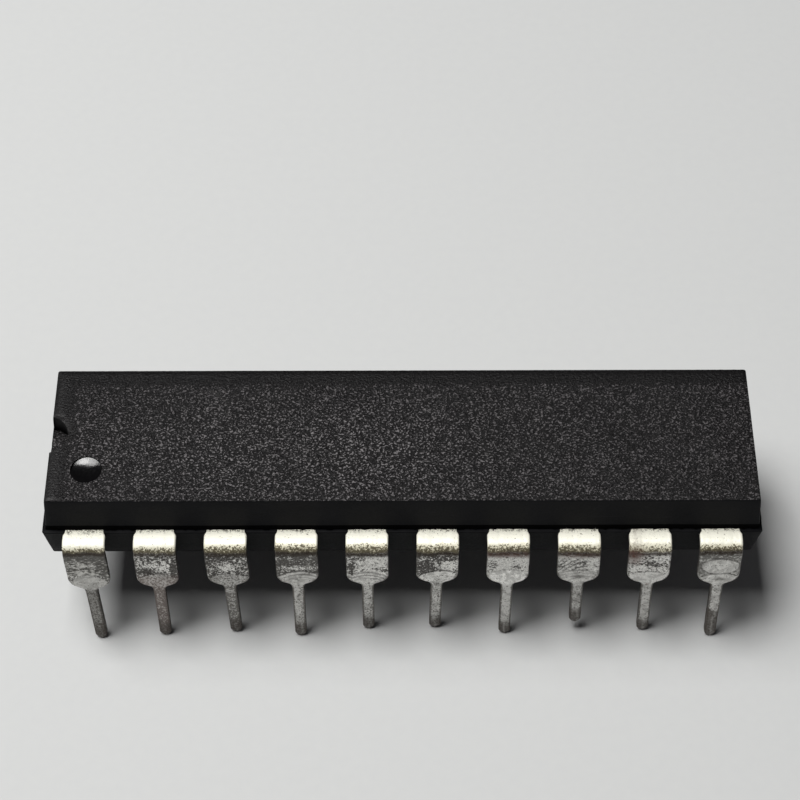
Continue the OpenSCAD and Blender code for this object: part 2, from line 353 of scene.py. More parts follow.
def bodyTop():
    # Height field over the top: grid lines bend round the notch and the dimple, corners are rounded
    b = body
    notchInset = b["halfLength"] - topX
    notchHalf = math.sqrt(b["notchRadius"] ** 2 - notchInset ** 2)
    wall = b["notchWall"]
    dx, dy = b["dimplePlace"]
    dr = b["dimpleRadius"]
    xs = linesThrough([-topX, -topX + notchHalf - wall, -topX + notchHalf, dx - dr, dx - dr + wall,
                       dx + dr - wall, dx + dr, topX], b["step"])
    ys = linesThrough([-topY, dy - dr, dy - dr + wall, dy + dr - wall, dy + dr,
                       -notchHalf, -notchHalf + wall, -b["tieHalf"], b["tieHalf"],
                       notchHalf - wall, notchHalf, topY], b["step"])
    x, y = np.meshgrid(xs, ys, indexing="ij")
    p = np.stack([x, y], -1)

    # Notch: one square ring becomes its rim, and all inside it is the floor
    q = p - (-topX, 0.0)
    ratio, reach = notchRing(q, notchInset)
    fade = smooth(notchHalf, notchHalf * b["notchFade"], reach)
    onTop = q * (ratio * reach * (1 - fade) + fade)[..., None] + (-topX, 0.0)
    floorZ = b["top"] - b["notchDepth"]
    floorX = -(b["halfLength"] - b["ledge"] - upperSlope() * (floorZ - b["parting"]))
    ratioLow, _ = notchRing(q, b["halfLength"] + floorX)
    onFloor = q * (ratioLow * reach / notchHalf)[..., None] + (floorX, 0.0)
    inNotch = reach < notchHalf - wall / 2
    p = np.where(inNotch[..., None], onFloor, onTop)

    # Dimple: a step at its rim and a hollow that is deepest behind its middle
    q, reach = squareToRound(p - (dx, dy), dr, b["dimpleFade"])
    p = np.where(inNotch[..., None], p, q + (dx, dy))
    across = np.hypot(p[..., 0] - dx, p[..., 1] - dy)
    du, dv = (p[..., 0] - dx) / dr, (p[..., 1] - dy) / dr
    back = b["dimpleBack"]
    fromDeepest = np.where(dv > back, (dv - back) / (1 - back), (back - dv) / (1 + back))
    sink = b["dimpleRim"] + b["dimpleDepth"] * (1 - fromDeepest ** 2) - b["dimpleBend"] * du ** 2
    sink = (sink - b["dimpleTilt"] * du) * (across < dr - wall / 2)

    # Upright corners: each square ring beyond the corner's middle becomes a round one
    inner = (topX - b["corner"], topY - b["corner"])
    square = np.abs(p) - inner
    inCorner = (square > 0).all(-1)
    far = np.maximum(np.hypot(square[..., 0], square[..., 1]), 1e-9)
    rounded = square * (square.max(-1) / far)[..., None]
    p = np.where(inCorner[..., None], np.sign(p) * (rounded + inner), p)

    fromNotch = np.hypot(p[..., 0] + b["halfLength"], p[..., 1]) - b["notchRadius"]
    band = smooth(b["notchSoft"], b["notchSoft"] * 0.3, fromNotch) * smooth(-0.35, 0.15, p[..., 1])
    fromEdge = np.minimum(topX - np.abs(p[..., 0]), topY - np.abs(p[..., 1]))
    fall = b["roll"][1] * np.clip(1 - fromEdge / b["roll"][0], 0, 1) ** 2
    z = np.where(inNotch, floorZ, b["top"] - sink - b["notchSink"] * band ** 2 - fall)
    inDimple = smooth(dr, dr - wall, across)
    # The grain, and with it the painted glints, nearly fades out along the left and the back edge, so these
    # edges are darker
    left, width = b["edgeFade"]
    edgeFade = left + (1 - left) * smooth(0.0, width, np.minimum(p[..., 0] + topX, topY - p[..., 1]))
    grainShare = (1 - inDimple) * np.where(inNotch, 1.0, (1 - band) * edgeFade)
    return p, z, inNotch, inDimple, grainShare


def wallRows():
    # Rows down the walls as distance out from the top's border, height and share of the grain
    b = body
    parting, edge, lowEdge = b["parting"], b["edge"], b["lowEdge"]
    ledgeIn = edge + b["upperInset"] - b["ledge"]
    ledgeOut = edge + b["upperInset"]
    rimZ = b["top"] - b["roll"][1]
    rows = [(edge * math.sin(a), rimZ - edge * (1 - math.cos(a)), share) for a, share in b["edgeTurns"]]
    rows += [(edge + upperSlope() * (b["top"] - h), h, 0.0) for h in b["upperRows"]]
    # The film creeps over the foot of the wall, and the ledge lies just under the leads
    rows += [(ledgeIn, parting + 0.05, 0.0), (ledgeIn, parting + 0.012, 0.0),
             (ledgeIn + 0.004, parting - 0.012, 0.0), (ledgeOut - 0.02, parting - 0.012, 0.0),
             (ledgeOut, parting - 0.03, 0.0)]
    # Lower walls: close rows at the tie bar's underside, then a rounded edge
    lowSlope = b["lowerInset"] / (parting - b["underside"])
    lowerRows = (5.4, b["tieBottom"] + 0.008, b["tieBottom"] - 0.004, 4.9, 4.5, b["underside"] + lowEdge)
    rows += [(ledgeOut - lowSlope * (parting - h), h, 0.0) for h in lowerRows]
    lowOut = ledgeOut - b["lowerInset"]
    rows += [(lowOut - lowEdge * (1 - math.cos(a)), b["underside"] + lowEdge * (1 - math.sin(a)), 0.0)
             for a in (0.5, 1.0, 1.35)]
    rows.append((lowOut - lowEdge - 0.05, b["underside"], 0.0))
    return rows


def bodyWalls(border, outward, notchSide, grain):
    # The border moved out and down for each row, with film, chips, waves and the tie bars' recesses
    b = body
    parting = b["parting"]
    floorZ = b["top"] - b["notchDepth"]
    ledgeIn = b["edge"] + b["upperInset"] - b["ledge"]
    x, y = border[:, 0], border[:, 1]
    film = np.clip(wavyField(*b["flashRelief"])(x, y) + 0.3, 0.0, 2.5) * b["flash"]
    chips = np.maximum(wavyField(*b["chipRelief"])(x, y) - 0.9, 0.0) * b["chips"]
    wave = wavyField(*b["waveRelief"])
    grainHere = grain(x, y)
    rings = []
    for out, h, share in wallRows():
        height = np.full(len(border), h)
        xy = border[:, :2] + outward * out
        if h > parting:
            # Under the notch the rows start at its floor
            part = (b["top"] - h) / (b["top"] - parting)
            height[notchSide] = floorZ + (parting - floorZ) * part
            xy[notchSide, 0] = -(b["halfLength"] - b["ledge"] - upperSlope() * (height[notchSide] - parting))
        else:
            xy[notchSide, 0] = -topX - out
        if 0 < h - parting < 0.03:
            xy = xy + outward * film[:, None]
        elif -0.035 < h - parting < 0 and out > ledgeIn + 0.05:
            xy = xy - outward * chips[:, None]
            height = height - chips * 0.5
        elif h < b["top"] - 0.1:
            xy = xy + outward * (b["waves"] * wave(x, y * 3 + h))[:, None]
        if b["tieBottom"] < h < parting - 0.035:
            tie = (np.abs(y) < b["tieHalf"] + 0.001) & (np.abs(outward[:, 0]) > 0.5)
            xy = xy - outward * (tie * b["tieRecess"])[:, None]
        height = height + grainHere * share * b["grain"] * ~notchSide
        rings.append(np.concatenate([xy, height[:, None]], 1))
    return rings


def ejectorCircles():
    # Two circles for each mark, one of them in the underside
    b = body
    radius = b["ejectorRadius"]
    turn = np.linspace(0, 2 * math.pi, b["ejectorSides"], endpoint=False)
    circles = []
    for centre in (-b["ejectorX"], b["ejectorX"]):
        for depth in (0.0, b["ejectorDepth"]):
            circles.append(np.stack([centre + radius * np.cos(turn), radius * np.sin(turn),
                                     np.full(len(turn), b["underside"] + depth)], 1))
    return circles


def undersideFaces(ring, last, start):
    # Two faces round the ejector marks. last and start number the first points of ring and of the circles
    sides = body["ejectorSides"]
    count = len(ring)
    left = int(np.argmin(np.abs(ring[:, 1]) + (ring[:, 0] > 0) * 99))
    right = int(np.argmin(np.abs(ring[:, 1]) + (ring[:, 0] < 0) * 99))
    frontLoop = last + np.arange(left, left + (right - left) % count + 1) % count
    backLoop = last + np.arange(right, right + (left - right) % count + 1) % count
    first, second = start, start + 2 * sides
    lowerHalf = np.append(np.arange(sides // 2, sides), 0)
    upperHalf = np.arange(0, sides // 2 + 1)
    # Seen from above each face runs clockwise, so that it points down
    frontFace = np.concatenate([frontLoop, second + lowerHalf[::-1], first + lowerHalf[::-1]])
    backFace = np.concatenate([backLoop, first + upperHalf[::-1], second + upperHalf[::-1]])
    faces = [face[::-1].tolist() for face in (frontFace, backFace)]
    turn = np.arange(sides)
    after = np.roll(turn, -1)
    for base in (first, second):
        faces += np.stack([base + after, base + turn, base + sides + turn, base + sides + after], 1).tolist()
        faces.append((base + sides + turn)[::-1].tolist())
    return faces


def sharpenEdges(piece, steep, inside):
    # Sharp edges at the rim and the foot of the walls of the notch and the dimple
    nx, ny = inside.shape
    onEdge = np.zeros((nx, ny), bool)
    for i, j in ((0, 0), (1, 0), (0, 1), (1, 1)):
        onEdge[i:nx - 1 + i, j:ny - 1 + j] |= steep
    kind = np.zeros(len(piece.data.vertices), int)
    kind[:nx * ny] = np.where(onEdge, np.where(inside, 1, 2), 0).ravel()
    ends = np.zeros(2 * len(piece.data.edges), np.int32)
    piece.data.edges.foreach_get("vertices", ends)
    ends = kind[ends.reshape(-1, 2)]
    piece.data.edges.foreach_set("use_edge_sharp", (ends[:, 0] == ends[:, 1]) & (ends[:, 0] > 0))
    piece.data.update()


def someAndAll(inside):
    # Whether some and whether all corners of each grid cell are inside
    corners = np.stack([inside[:-1, :-1], inside[1:, :-1], inside[1:, 1:], inside[:-1, 1:]])
    return corners.any(0), corners.all(0)


def makeBody(paints):
    # The top's grid, the rings of the walls down from its border, and the underside
    b = body
    p, z, inNotch, inDimple, grainShare = bodyTop()
    nx, ny = p.shape[:2]
    grain = wavyField(*b["grainRelief"])
    relief = grain(p[..., 0], p[..., 1]) * b["grain"] * grainShare
    top = np.concatenate([p, (z + relief)[..., None]], -1).reshape(-1, 3)
    number = np.arange(nx * ny).reshape(nx, ny)

    # The border of the top, counter-clockwise from above
    loop = np.concatenate([number[:-1, 0], number[-1, :-1], number[:0:-1, -1], number[0, :0:-1]])
    border = top[loop]
    count = len(loop)
    notchSide = inNotch.ravel()[loop]
    inner = np.array([topX, topY]) - b["corner"]
    outward = border[:, :2] - np.clip(border[:, :2], -inner, inner)
    outward[notchSide] = (-1.0, 0.0)
    # A step out moves a corner both ways, so that its radius stays the same
    outward = np.where(np.abs(outward) > 1e-6, np.sign(outward), 0.0)
    rings = bodyWalls(border, outward, notchSide, grain)
    walls = np.concatenate(rings)
    start = len(top) + len(walls)
    points = np.concatenate([top, walls] + ejectorCircles())

    # Faces, and the paint of each: 0 grained top, 1 walls, 2 dimple, 3 black painted shade, 4 far notch wall
    # with painted shade
    faces = np.stack([number[:-1, :-1].ravel(), number[1:, :-1].ravel(), number[1:, 1:].ravel(),
                      number[:-1, 1:].ravel()], 1).tolist()
    onDimple = inDimple > 0.5
    someNotch, allNotch = someAndAll(inNotch)
    someDimple, allDimple = someAndAll(onDimple)
    notchWall, dimpleWall = someNotch & ~allNotch, someDimple & ~allDimple
    # Only the far wall of the notch can be seen; it is smooth and painted darker than the other walls, as
    # painted shade in the recess
    farWallShade = 4 * (p[:-1, :-1, 1] > -0.15)
    # The dimple's rim wall gets the black painted shade
    topTag = np.where(notchWall, farWallShade, np.where(dimpleWall, 3, np.where(allDimple, 2, 0)))
    ringNumber = np.concatenate([loop[None], len(top) + np.arange(len(walls)).reshape(-1, count)])
    faces += ringFaces(ringNumber)
    # Grain with painted glints over the upper edge, a black band of painted shade at the foot of the upper
    # walls, smooth walls elsewhere
    inShadeBand = [ring[:, 2].max() < b["shadeBandTop"] and ring[:, 2].min() > b["parting"] for ring in rings]
    rowTag = [0 if i < 2 else 3 if inShadeBand[i] else 1 for i in range(len(rings))]
    below = undersideFaces(rings[-1], start - count, start)
    faces += below
    tags = np.concatenate([topTag.ravel(), np.repeat(rowTag, count), np.ones(len(below), int)])

    scuff, grained = np.zeros((2, len(points)))
    scuff[:len(top)] = topScuffs(top)
    grained[:len(top)] = grainShare.ravel()
    grained[len(top):len(top) + 2 * count] = 1.0
    # Painted sheen: a broad patch where the painted glints are brighter
    (paintedSheenX, reachX), (paintedSheenY, reachY) = b["paintedSheen"]
    paintedSheen = np.exp(-((points[:, 0] - paintedSheenX) / reachX) ** 2 - ((points[:, 1] - paintedSheenY) / reachY) ** 2)
    layers = {"scuff": scuff, "grained": grained, "paintedSheen": paintedSheen}
    piece = makePiece("moulded_body_skin", points, faces, paints, tags, layers, "moulded_body")
    sharpenEdges(piece, notchWall | dimpleWall, inNotch | onDimple)


# Scratches on the top: both ends in mm, half width and strength
scratches = [
    ((-7.05, 2.02), (-6.4, 1.42), 0.05, 0.8),
    ((10.9, -1.25), (11.3, -1.05), 0.12, 0.6),
    ((-3.2, 2.3), (-2.7, 2.25), 0.04, 0.35),
    ((5.4, -2.1), (5.9, -1.9), 0.05, 0.3),
]


def topScuffs(points):
    marks = np.zeros(len(points))
    for start, end, half, strength in scratches:
        start, end = np.array(start), np.array(end)
        along = end - start
        share = np.clip(((points[:, :2] - start) @ along) / (along @ along), 0, 1)
        gap = np.hypot(*(points[:, :2] - start - share[:, None] * along).T)
        marks = np.maximum(marks, strength * smooth(half, 0.0, gap))
    return marks


# Colours of the moulding compound, with its painted glints, painted sheen and painted shade
mould = {
    "ground": ((0.0028, 0.0025, 0.0028), (0.011, 0.0103, 0.0107)),  # between the painted glints of the grain
    "paintedGlint": ((0.105, 0.099, 0.102), (0.24, 0.23, 0.234)),  # painted glints of the grain: plain, and brighter in the painted sheen
    # Dimmer painted glints for the dull patches
    "dullPaintedGlint": (0.05, 0.047, 0.048),
    "scuff": (0.085, 0.082, 0.08),
    "wall": ((0.0058, 0.006, 0.007), (0.0086, 0.0088, 0.0098)),
    "rubbedWall": (0.022, 0.022, 0.023),
    # Painted shade: black for the foot of the upper walls and the dimple's rim
    "blackShade": ((0.0008, 0.0008, 0.0009), (0.003, 0.003, 0.003)),
    # Painted shade for the far wall of the notch: darker than the other walls
    "notch": ((0.0026, 0.0026, 0.003), (0.005, 0.005, 0.0056)),
    "dimple": (0.0012, 0.0011, 0.0013),
}


def topPaint():
    # Spark-eroded grain: a dark ground with short bright flecks, which are painted glints
    paint = Paint("moulded_top", Specular_IOR_Level=0.2)
    ridges = paint.noise(0.064, 2.0, 0.6, 0.4, paint.stretched((0.85, 1.0, 1.0)))
    fine = paint.noise(0.05, 2.0, 0.6)
    patches = paint.noise(5.0, 2.0)
    raised = paint.times(ridges, paint.layer("grained"))
    # The painted glints are brighter within the painted sheen
    paintedGlint = paint.mix(paint.layer("paintedSheen"), *mould["paintedGlint"])
    paintedGlint = paint.mix(paint.ramp(patches, 0.35, 0.7, 0.0, 0.3), paintedGlint, mould["dullPaintedGlint"])
    ground = paint.mix(paint.ramp(fine, 0.42, 0.66), *mould["ground"])
    # Painted highlights: the raised grain gets the bright glint colour
    colour = paint.mix(paint.ramp(raised, 0.565, 0.62), ground, paintedGlint)
    colour = paint.mix(paint.times(paint.layer("scuff"), 0.4), colour, mould["scuff"])
    roughness = paint.ramp(fine, 0.3, 0.7, 0.34, 0.42)
    return paint.finish(colour, roughness, paint.bump(fine, 0.006, paint.bump(raised, 0.07)))


def wallPaint():
    # Nearly black, with faint clouds and a few rubbed streaks
    paint = Paint("moulded_walls", Specular_IOR_Level=0.07)
    fine = paint.noise(0.07, 3.0, 0.6)
    cloud = paint.noise(2.2, 3.0, 0.5, 0.5)
    rub = paint.noise(0.5, 3.0, 0.6, 1.0, paint.stretched((0.35, 1.0, 1.6)))
    colour = paint.mix(paint.ramp(cloud, 0.3, 0.7), *mould["wall"])
    colour = paint.mix(paint.ramp(rub, 0.62, 0.8, 0.0, 0.4), colour, mould["rubbedWall"])
    return paint.finish(colour, paint.ramp(fine, 0.3, 0.7, 0.5, 0.62), paint.bump(fine, 0.002))


def darkPaint(name, specular, lump, roughness, relief, colours):
    paint = Paint(name, Specular_IOR_Level=specular)
    fine = paint.noise(lump, 3.0, 0.6)
    return paint.finish(paint.mix(fine, *colours), roughness, paint.bump(fine, relief))


def dimplePaint():
    # The dimple is smooth and mirrors the lamp
    paint = Paint("dimple_skin", Specular_IOR_Level=0.52)
    lumps = paint.noise(0.09, 3.0, 0.6)
    return paint.finish(mould["dimple"], paint.ramp(lumps, 0.35, 0.7, 0.16, 0.23),
                        paint.bump(lumps, 0.004))


# Leads: one strip each, from the inner finger over the shoulder and the bend down to the tip

lead = {
    "pitch": 2.54, "perSide": 10,
    "top": 5.5, "thickness": 0.25,
    "bodyY": 3.175, "wallY": 3.055,  # front of the lower half and foot of the upper half
    "bendY": 3.435, "bendZ": 5.0, "innerRadius": 0.25,
    "neck": 0.7,  # half width where it leaves the body
    "neckReach": 0.12,
    "half": 0.758,  # half width of the shoulder and the wide part
    "pinHalf": 0.205,
    "tabEnd": 2.475, "fingerHalf": 0.16,
    "firstTrack": 0.52, "trackStep": 0.48,  # places of the long fingers beside the paddle
    "round": (0.05, 0.03, 0.02),  # radius of the long edges: wide part, pin and inside the body
    "plating": 0.006, "relief": 0.0024,  # thickness of the plating and height of its random waves
    "solder": (0.012, 0.02),  # thickness at the edges, bulge in the middle
    "pinBulge": 0.016,
    "tipTaper": 0.045,  # how much thinner the tip is on each side
}
# Outline of the lower leg: height above the tips and share of the way from pin to shoulder
legOutline = [(3.78, 1.0), (3.68, 0.985), (3.58, 0.93), (3.49, 0.84), (3.41, 0.71), (3.35, 0.56), (3.3, 0.38),
              (3.25, 0.21), (3.19, 0.09), (3.09, 0.02), (2.97, 0.0)]

# How a lead stands and looks where nothing else is said
usualLead = {
    "splay": 0.0, "lean": 0.0,  # outward and sideways lean in degrees
    "rise": 0.0, "short": 0.0,  # how much its shoulder is higher and its tip ends short
    "arc": (4.0, 0.3, 0.0),  # facet's upper edge: height, fall to the sides, slant
    "upper": None,  # second patch of solder, as below without strength
    "tone": 0.5, "mottle": 1.0,  # share of white flakes in the bare part, and how clear they are
    "streak": 0.0,  # drawn lines in place of flakes
    "solder": 0.6, "pin": 0.5,  # brightness of facet and pin
    "pits": 0.45, "pink": 0.0,
    "rim": 0.0, "lines": 0.0, "sweep": 0.0,  # bright edge, rings in the facet, curves above it
    "white": 0.28, "pale": 1.0,  # where the speckle starts, and how much there is
    "dents": 0.0, "tarnishAndShade": 1.0,  # pits beside the body, and the dark band under the bend, partly tarnish and partly painted dark reflection
    "bare": 1.15, "sharp": 0.5,  # height of the bare tip, and of the change to it
    "patches": [],  # kind, place across from -1 to 1, height, half width, half height, strength
}
# The front row, from pin 1
frontLeads = [
    {"splay": 3.5, "lean": 1.7, "rise": -0.07, "arc": (3.97, 0.44, 0.0), "tone": 0.45, "mottle": 0.75,
     "streak": 1.0, "solder": 0.5, "pin": 0.0, "white": 0.43, "dents": 0.2, "pale": 0.95, "tarnishAndShade": 0.8,
     "patches": [("dark", 0.0, 4.98, 2.0, 0.16, 0.9), ("dark", 0.75, 4.4, 0.3, 0.6, 0.35),
                 ("light", -0.3, 4.55, 0.5, 0.15, 0.25), ("light", 0.1, 4.05, 0.5, 0.12, 0.3)]},
    {"splay": 2.0, "rise": -0.03, "arc": (3.99, 0.33, 0.0), "tone": 0.46, "solder": 0.5, "pits": 0.75,
     "pin": 0.28, "pink": 0.6, "rim": 0.9, "white": 0.42, "pale": 0.95, "tarnishAndShade": 0.6,
     "patches": [("light", 0.25, 4.45, 0.5, 0.25, 0.3), ("dark", -0.5, 4.15, 0.4, 0.2, 0.3),
                 ("dark", 0.9, 4.4, 0.25, 0.6, 0.3)]},
    {"splay": 0.5, "lean": 1.3, "arc": (3.96, 0.3, 0.0), "tone": 0.4, "solder": 0.46, "pits": 0.7,
     "pin": 0.4, "rim": 0.3,
     "patches": [("light", 0.0, 4.35, 0.4, 0.3, 0.35), ("dark", -0.2, 4.9, 0.8, 0.15, 0.3),
                 ("light", 0.3, 4.85, 0.4, 0.12, 0.2)]},
    {"splay": 2.5, "rise": 0.13, "arc": (4.16, 0.26, 0.1), "tone": 0.3, "mottle": 0.9, "solder": 0.62,
     "pin": 0.56, "lines": 0.8, "rim": 0.5,
     "patches": [("light", 0.1, 4.35, 0.8, 0.16, 0.35), ("dark", -0.6, 4.75, 0.5, 0.2, 0.2),
                 ("dark", 0.45, 4.0, 0.35, 0.08, 0.5)]},
    {"splay": -1.0, "arc": (4.01, 0.3, 0.0), "tone": 0.68, "mottle": 0.95, "solder": 0.76, "pits": 0.5,
     "pin": 0.6, "lines": 1.0, "rim": 0.3, "white": 0.27,
     "patches": [("dark", -0.85, 4.35, 0.25, 0.5, 0.5), ("dark", -0.7, 4.9, 0.4, 0.1, 0.35),
                 ("dark", 0.85, 4.1, 0.25, 0.12, 0.35), ("light", 0.3, 4.6, 0.5, 0.3, 0.15)]},
    {"splay": -1.5, "lean": -0.7, "rise": 0.07, "arc": (4.08, 0.3, 0.1), "tone": 0.44, "solder": 0.86,
     "pits": 0.5, "pin": 0.66, "rim": 0.9, "white": 0.27,
     "patches": [("dark", -0.6, 4.3, 0.45, 0.45, 0.35), ("light", 0.6, 4.42, 0.55, 0.35, 0.35),
                 ("dark", 0.5, 4.85, 0.6, 0.12, 0.25), ("dark", 0.0, 3.25, 0.3, 0.08, 0.5)]},
    {"splay": 1.5, "rise": 0.12, "arc": (4.22, 0.29, 0.03), "tone": 0.74, "mottle": 0.85, "solder": 1.0,
     "pits": 0.32, "pin": 0.55,
     "patches": [("dark", -0.8, 4.45, 0.3, 0.35, 0.35), ("dark", 0.5, 4.35, 0.35, 0.1, 0.35),
                 ("brown", 0.0, 5.06, 2.0, 0.1, 0.7), ("light", -0.1, 4.3, 0.3, 0.15, 0.3)]},
    {"lean": 1.1, "rise": 0.12, "short": 0.6, "arc": (4.17, 0.17, 0.0), "tone": 0.66, "mottle": 0.85,
     "solder": 0.66, "lines": 0.5, "sweep": 1.0,
     "patches": [("dark", 0.3, 4.62, 0.16, 0.12, 0.5), ("brown", 0.1, 5.04, 1.4, 0.1, 0.6),
                 ("light", 0.7, 4.7, 0.4, 0.2, 0.25), ("dark", 0.05, 3.75, 0.3, 0.12, 0.7),
                 ("dark", 0.4, 2.55, 0.5, 0.12, 0.7), ("dark", -0.1, 2.15, 0.5, 0.1, 0.7)]},
    {"lean": 1.3, "rise": 0.09, "arc": (4.05, 0.21, 0.0), "tone": 0.63, "solder": 0.78, "pits": 0.4,
     "pin": 0.58, "bare": 1.0, "tarnishAndShade": 0.5, "pale": 0.75,
     "patches": [("dark", 0.1, 4.5, 0.8, 0.14, 0.35), ("light", -0.5, 4.3, 0.4, 0.15, 0.25),
                 ("brown", -0.8, 5.05, 0.45, 0.28, 1.0), ("brown", -0.75, 4.65, 0.35, 0.15, 0.5),
                 ("brown", 0.0, 3.28, 0.35, 0.05, 0.9)]},
    {"splay": 3.0, "lean": 1.0, "rise": 0.14, "arc": (3.98, 0.24, 0.05), "upper": (0.05, 4.42, 0.96, 0.44),
     "mottle": 0.55, "solder": 0.72, "pits": 0.4, "pin": 0.62, "rim": 0.7, "white": 0.33, "bare": 1.75,
     "sharp": 0.1,
     "patches": [("dark", 0.0, 5.02, 2.0, 0.025, 0.7), ("dark", 0.0, 4.9, 2.0, 0.025, 0.6),
                 ("dark", 0.05, 3.66, 0.4, 0.09, 0.7), ("dark", -0.9, 4.3, 0.2, 0.4, 0.3)]},
]
backLead = {"splay": 3.5, "mottle": 0.9, "pits": 0.4}


def sectionShape(faceSteps, backSteps, sideSteps):
    # Points round the strip: shares of half width and half thickness, and both parts of the corner radius
    corner = [math.radians(a) for a in (22.5, 67.5)]

    def halfShape(steps):
        return np.array([(x, 1.0, 0.0, 1.0) for x in np.linspace(-1, 1, steps)]
                        + [(1.0, 1.0, math.sin(a), math.cos(a)) for a in corner]
                        + [(1.0, y, 1.0, 0.0) for y in np.linspace(1, -1, sideSteps)]
                        + [(1.0, -1.0, math.cos(a), -math.sin(a)) for a in corner])
    return np.concatenate([halfShape(faceSteps), -halfShape(backSteps)])


def fingerStations(place):
    # Middle line of the inner finger, with the half-width vector of each station, mitred at its turns
    perSide = lead["perSide"]
    middle = (perSide - 1) / 2
    rank = math.floor(abs(place - middle))
    x = (place - middle) * lead["pitch"]
    side = -1 if x < 0 else 1
    tabEnd, finger = lead["tabEnd"], lead["fingerHalf"]
    track = lead["firstTrack"] + (math.floor(middle) - rank) * lead["trackStep"]
    if rank < 2:
        tip = (side * (rank + 0.5) * 1.3, -1.7)
        knee = (tip[0], -2.18)
    else:
        tip = (side * 2.85, -track)
        knee = (side * (abs(x) - (tabEnd - track) * math.tan(math.radians(30))), -track)
    tab = (x, -tabEnd)
    line = np.array([tip, knee, tab])
    first = (line[1] - line[0]) / np.linalg.norm(line[1] - line[0])
    second = (line[2] - line[1]) / np.linalg.norm(line[2] - line[1])
    third = np.array([0.0, -1.0])

    def across(v):
        return np.array([-v[1], v[0]])

    def mitre(u, v):
        m = across(u) + across(v)
        m /= np.linalg.norm(m)
        return m / (m @ across(u))
    return [(tip, across(first) * finger), (knee, mitre(first, second) * finger),
            (tab, mitre(second, third) * finger), ((x, -tabEnd - 0.001), across(third) * lead["neck"]),
            ((x, 0.02 - lead["wallY"]), across(third) * lead["neck"])]


def leadStations(place, look, fine):
    # Centre, half-width vector, outward normal and fall of each station from finger to tip: the fall is
    # -1 to 0 along the shoulder, 0 to 1 round the bend, then 1 plus mm down
    t = lead["thickness"]
    midZ = lead["top"] - t / 2
    middleX = (place - (lead["perSide"] - 1) / 2) * lead["pitch"]
    stations = [((x, y, midZ), (*w, 0.0), (0.0, 0.0, 1.0), -1.0) for (x, y), w in fingerStations(place)]
    # Shoulder: the dam bar's stubs widen it just outside the body
    reach = lead["bendY"] - lead["wallY"]
    for s in np.linspace(0.0, 1.0, 6 + 8 * fine):
        y = -lead["wallY"] - s * reach
        widened = float(smooth(lead["bodyY"] - 0.03, lead["bodyY"] + lead["neckReach"], -y))
        w = lead["neck"] + (lead["half"] - lead["neck"]) * widened
        stations.append(((middleX, y, midZ), (w, 0.0, 0.0), (0.0, 0.0, 1.0), -1.0 + s + 0.001))
    # Bend: an arc of the middle radius
    splay = math.radians(look["splay"])
    middle = lead["innerRadius"] + t / 2
    for s in np.linspace(0.0, 1.0, 8 + 18 * fine)[1:]:
        a = s * (math.pi / 2 - splay)
        out, up = math.sin(a), math.cos(a)
        stations.append(((middleX, -lead["bendY"] - middle * out, lead["bendZ"] + middle * up),
                         (lead["half"], 0.0, 0.0), (0.0, -out, up), s))
    # Leg: straight down to the floor, or short of it, leaning sideways
    low = look["short"]
    startZ = lead["bendZ"] + middle * math.sin(splay)
    startY = -lead["bendY"] - middle * math.cos(splay)
    marks = [low + 0.012, low + 0.06, low + 0.3, 2.9, 4.3, startZ]
    outline = np.array(legOutline)[::-1]
    for z in linesThrough(marks, 0.028 if fine else 0.09)[::-1][1:]:
        s = (startZ - z) / math.cos(splay)
        share = float(np.interp(z - look["rise"], outline[:, 0], outline[:, 1]))
        w = lead["pinHalf"] + (lead["half"] - lead["pinHalf"]) * share
        # The tip is rounded over its last stretch
        w *= 0.42 + 0.58 * math.sqrt(max(1 - (1 - min((z - low) / 0.26, 1)) ** 2, 0))
        x = middleX + s * math.tan(math.radians(look["lean"]))
        stations.append(((x, startY - s * math.sin(splay), z), (w, 0.0, 0.0),
                         (0.0, -math.cos(splay), math.sin(splay)), 1.0 + (startZ - z)))
    return [np.array(v, float) for v in zip(*stations)]


def solderShare(look, u, z, onLeg, edgy):
    # Where solder covers the facet, from 0 to 1, and a thin outline along its curved upper edge
    top, fall, slant = look["arc"]
    arc = top - fall * u ** 2 + slant * u + 0.008 * edgy
    solder = smooth(arc + 0.012, arc - 0.018, z) * onLeg
    outline = hill(z - arc, 0.03, 0.022)
    if look["upper"]:
        cu, cz, du, dz = look["upper"]
        far = np.hypot((u - cu) / du, (z - cz) / dz) + 0.02 * edgy
        solder = np.maximum(solder, smooth(1.03, 0.97, far) * onLeg)
        outline = np.maximum(outline, hill(far, 1.04, 0.05))
    return arc, solder, outline * look["rim"] * onLeg


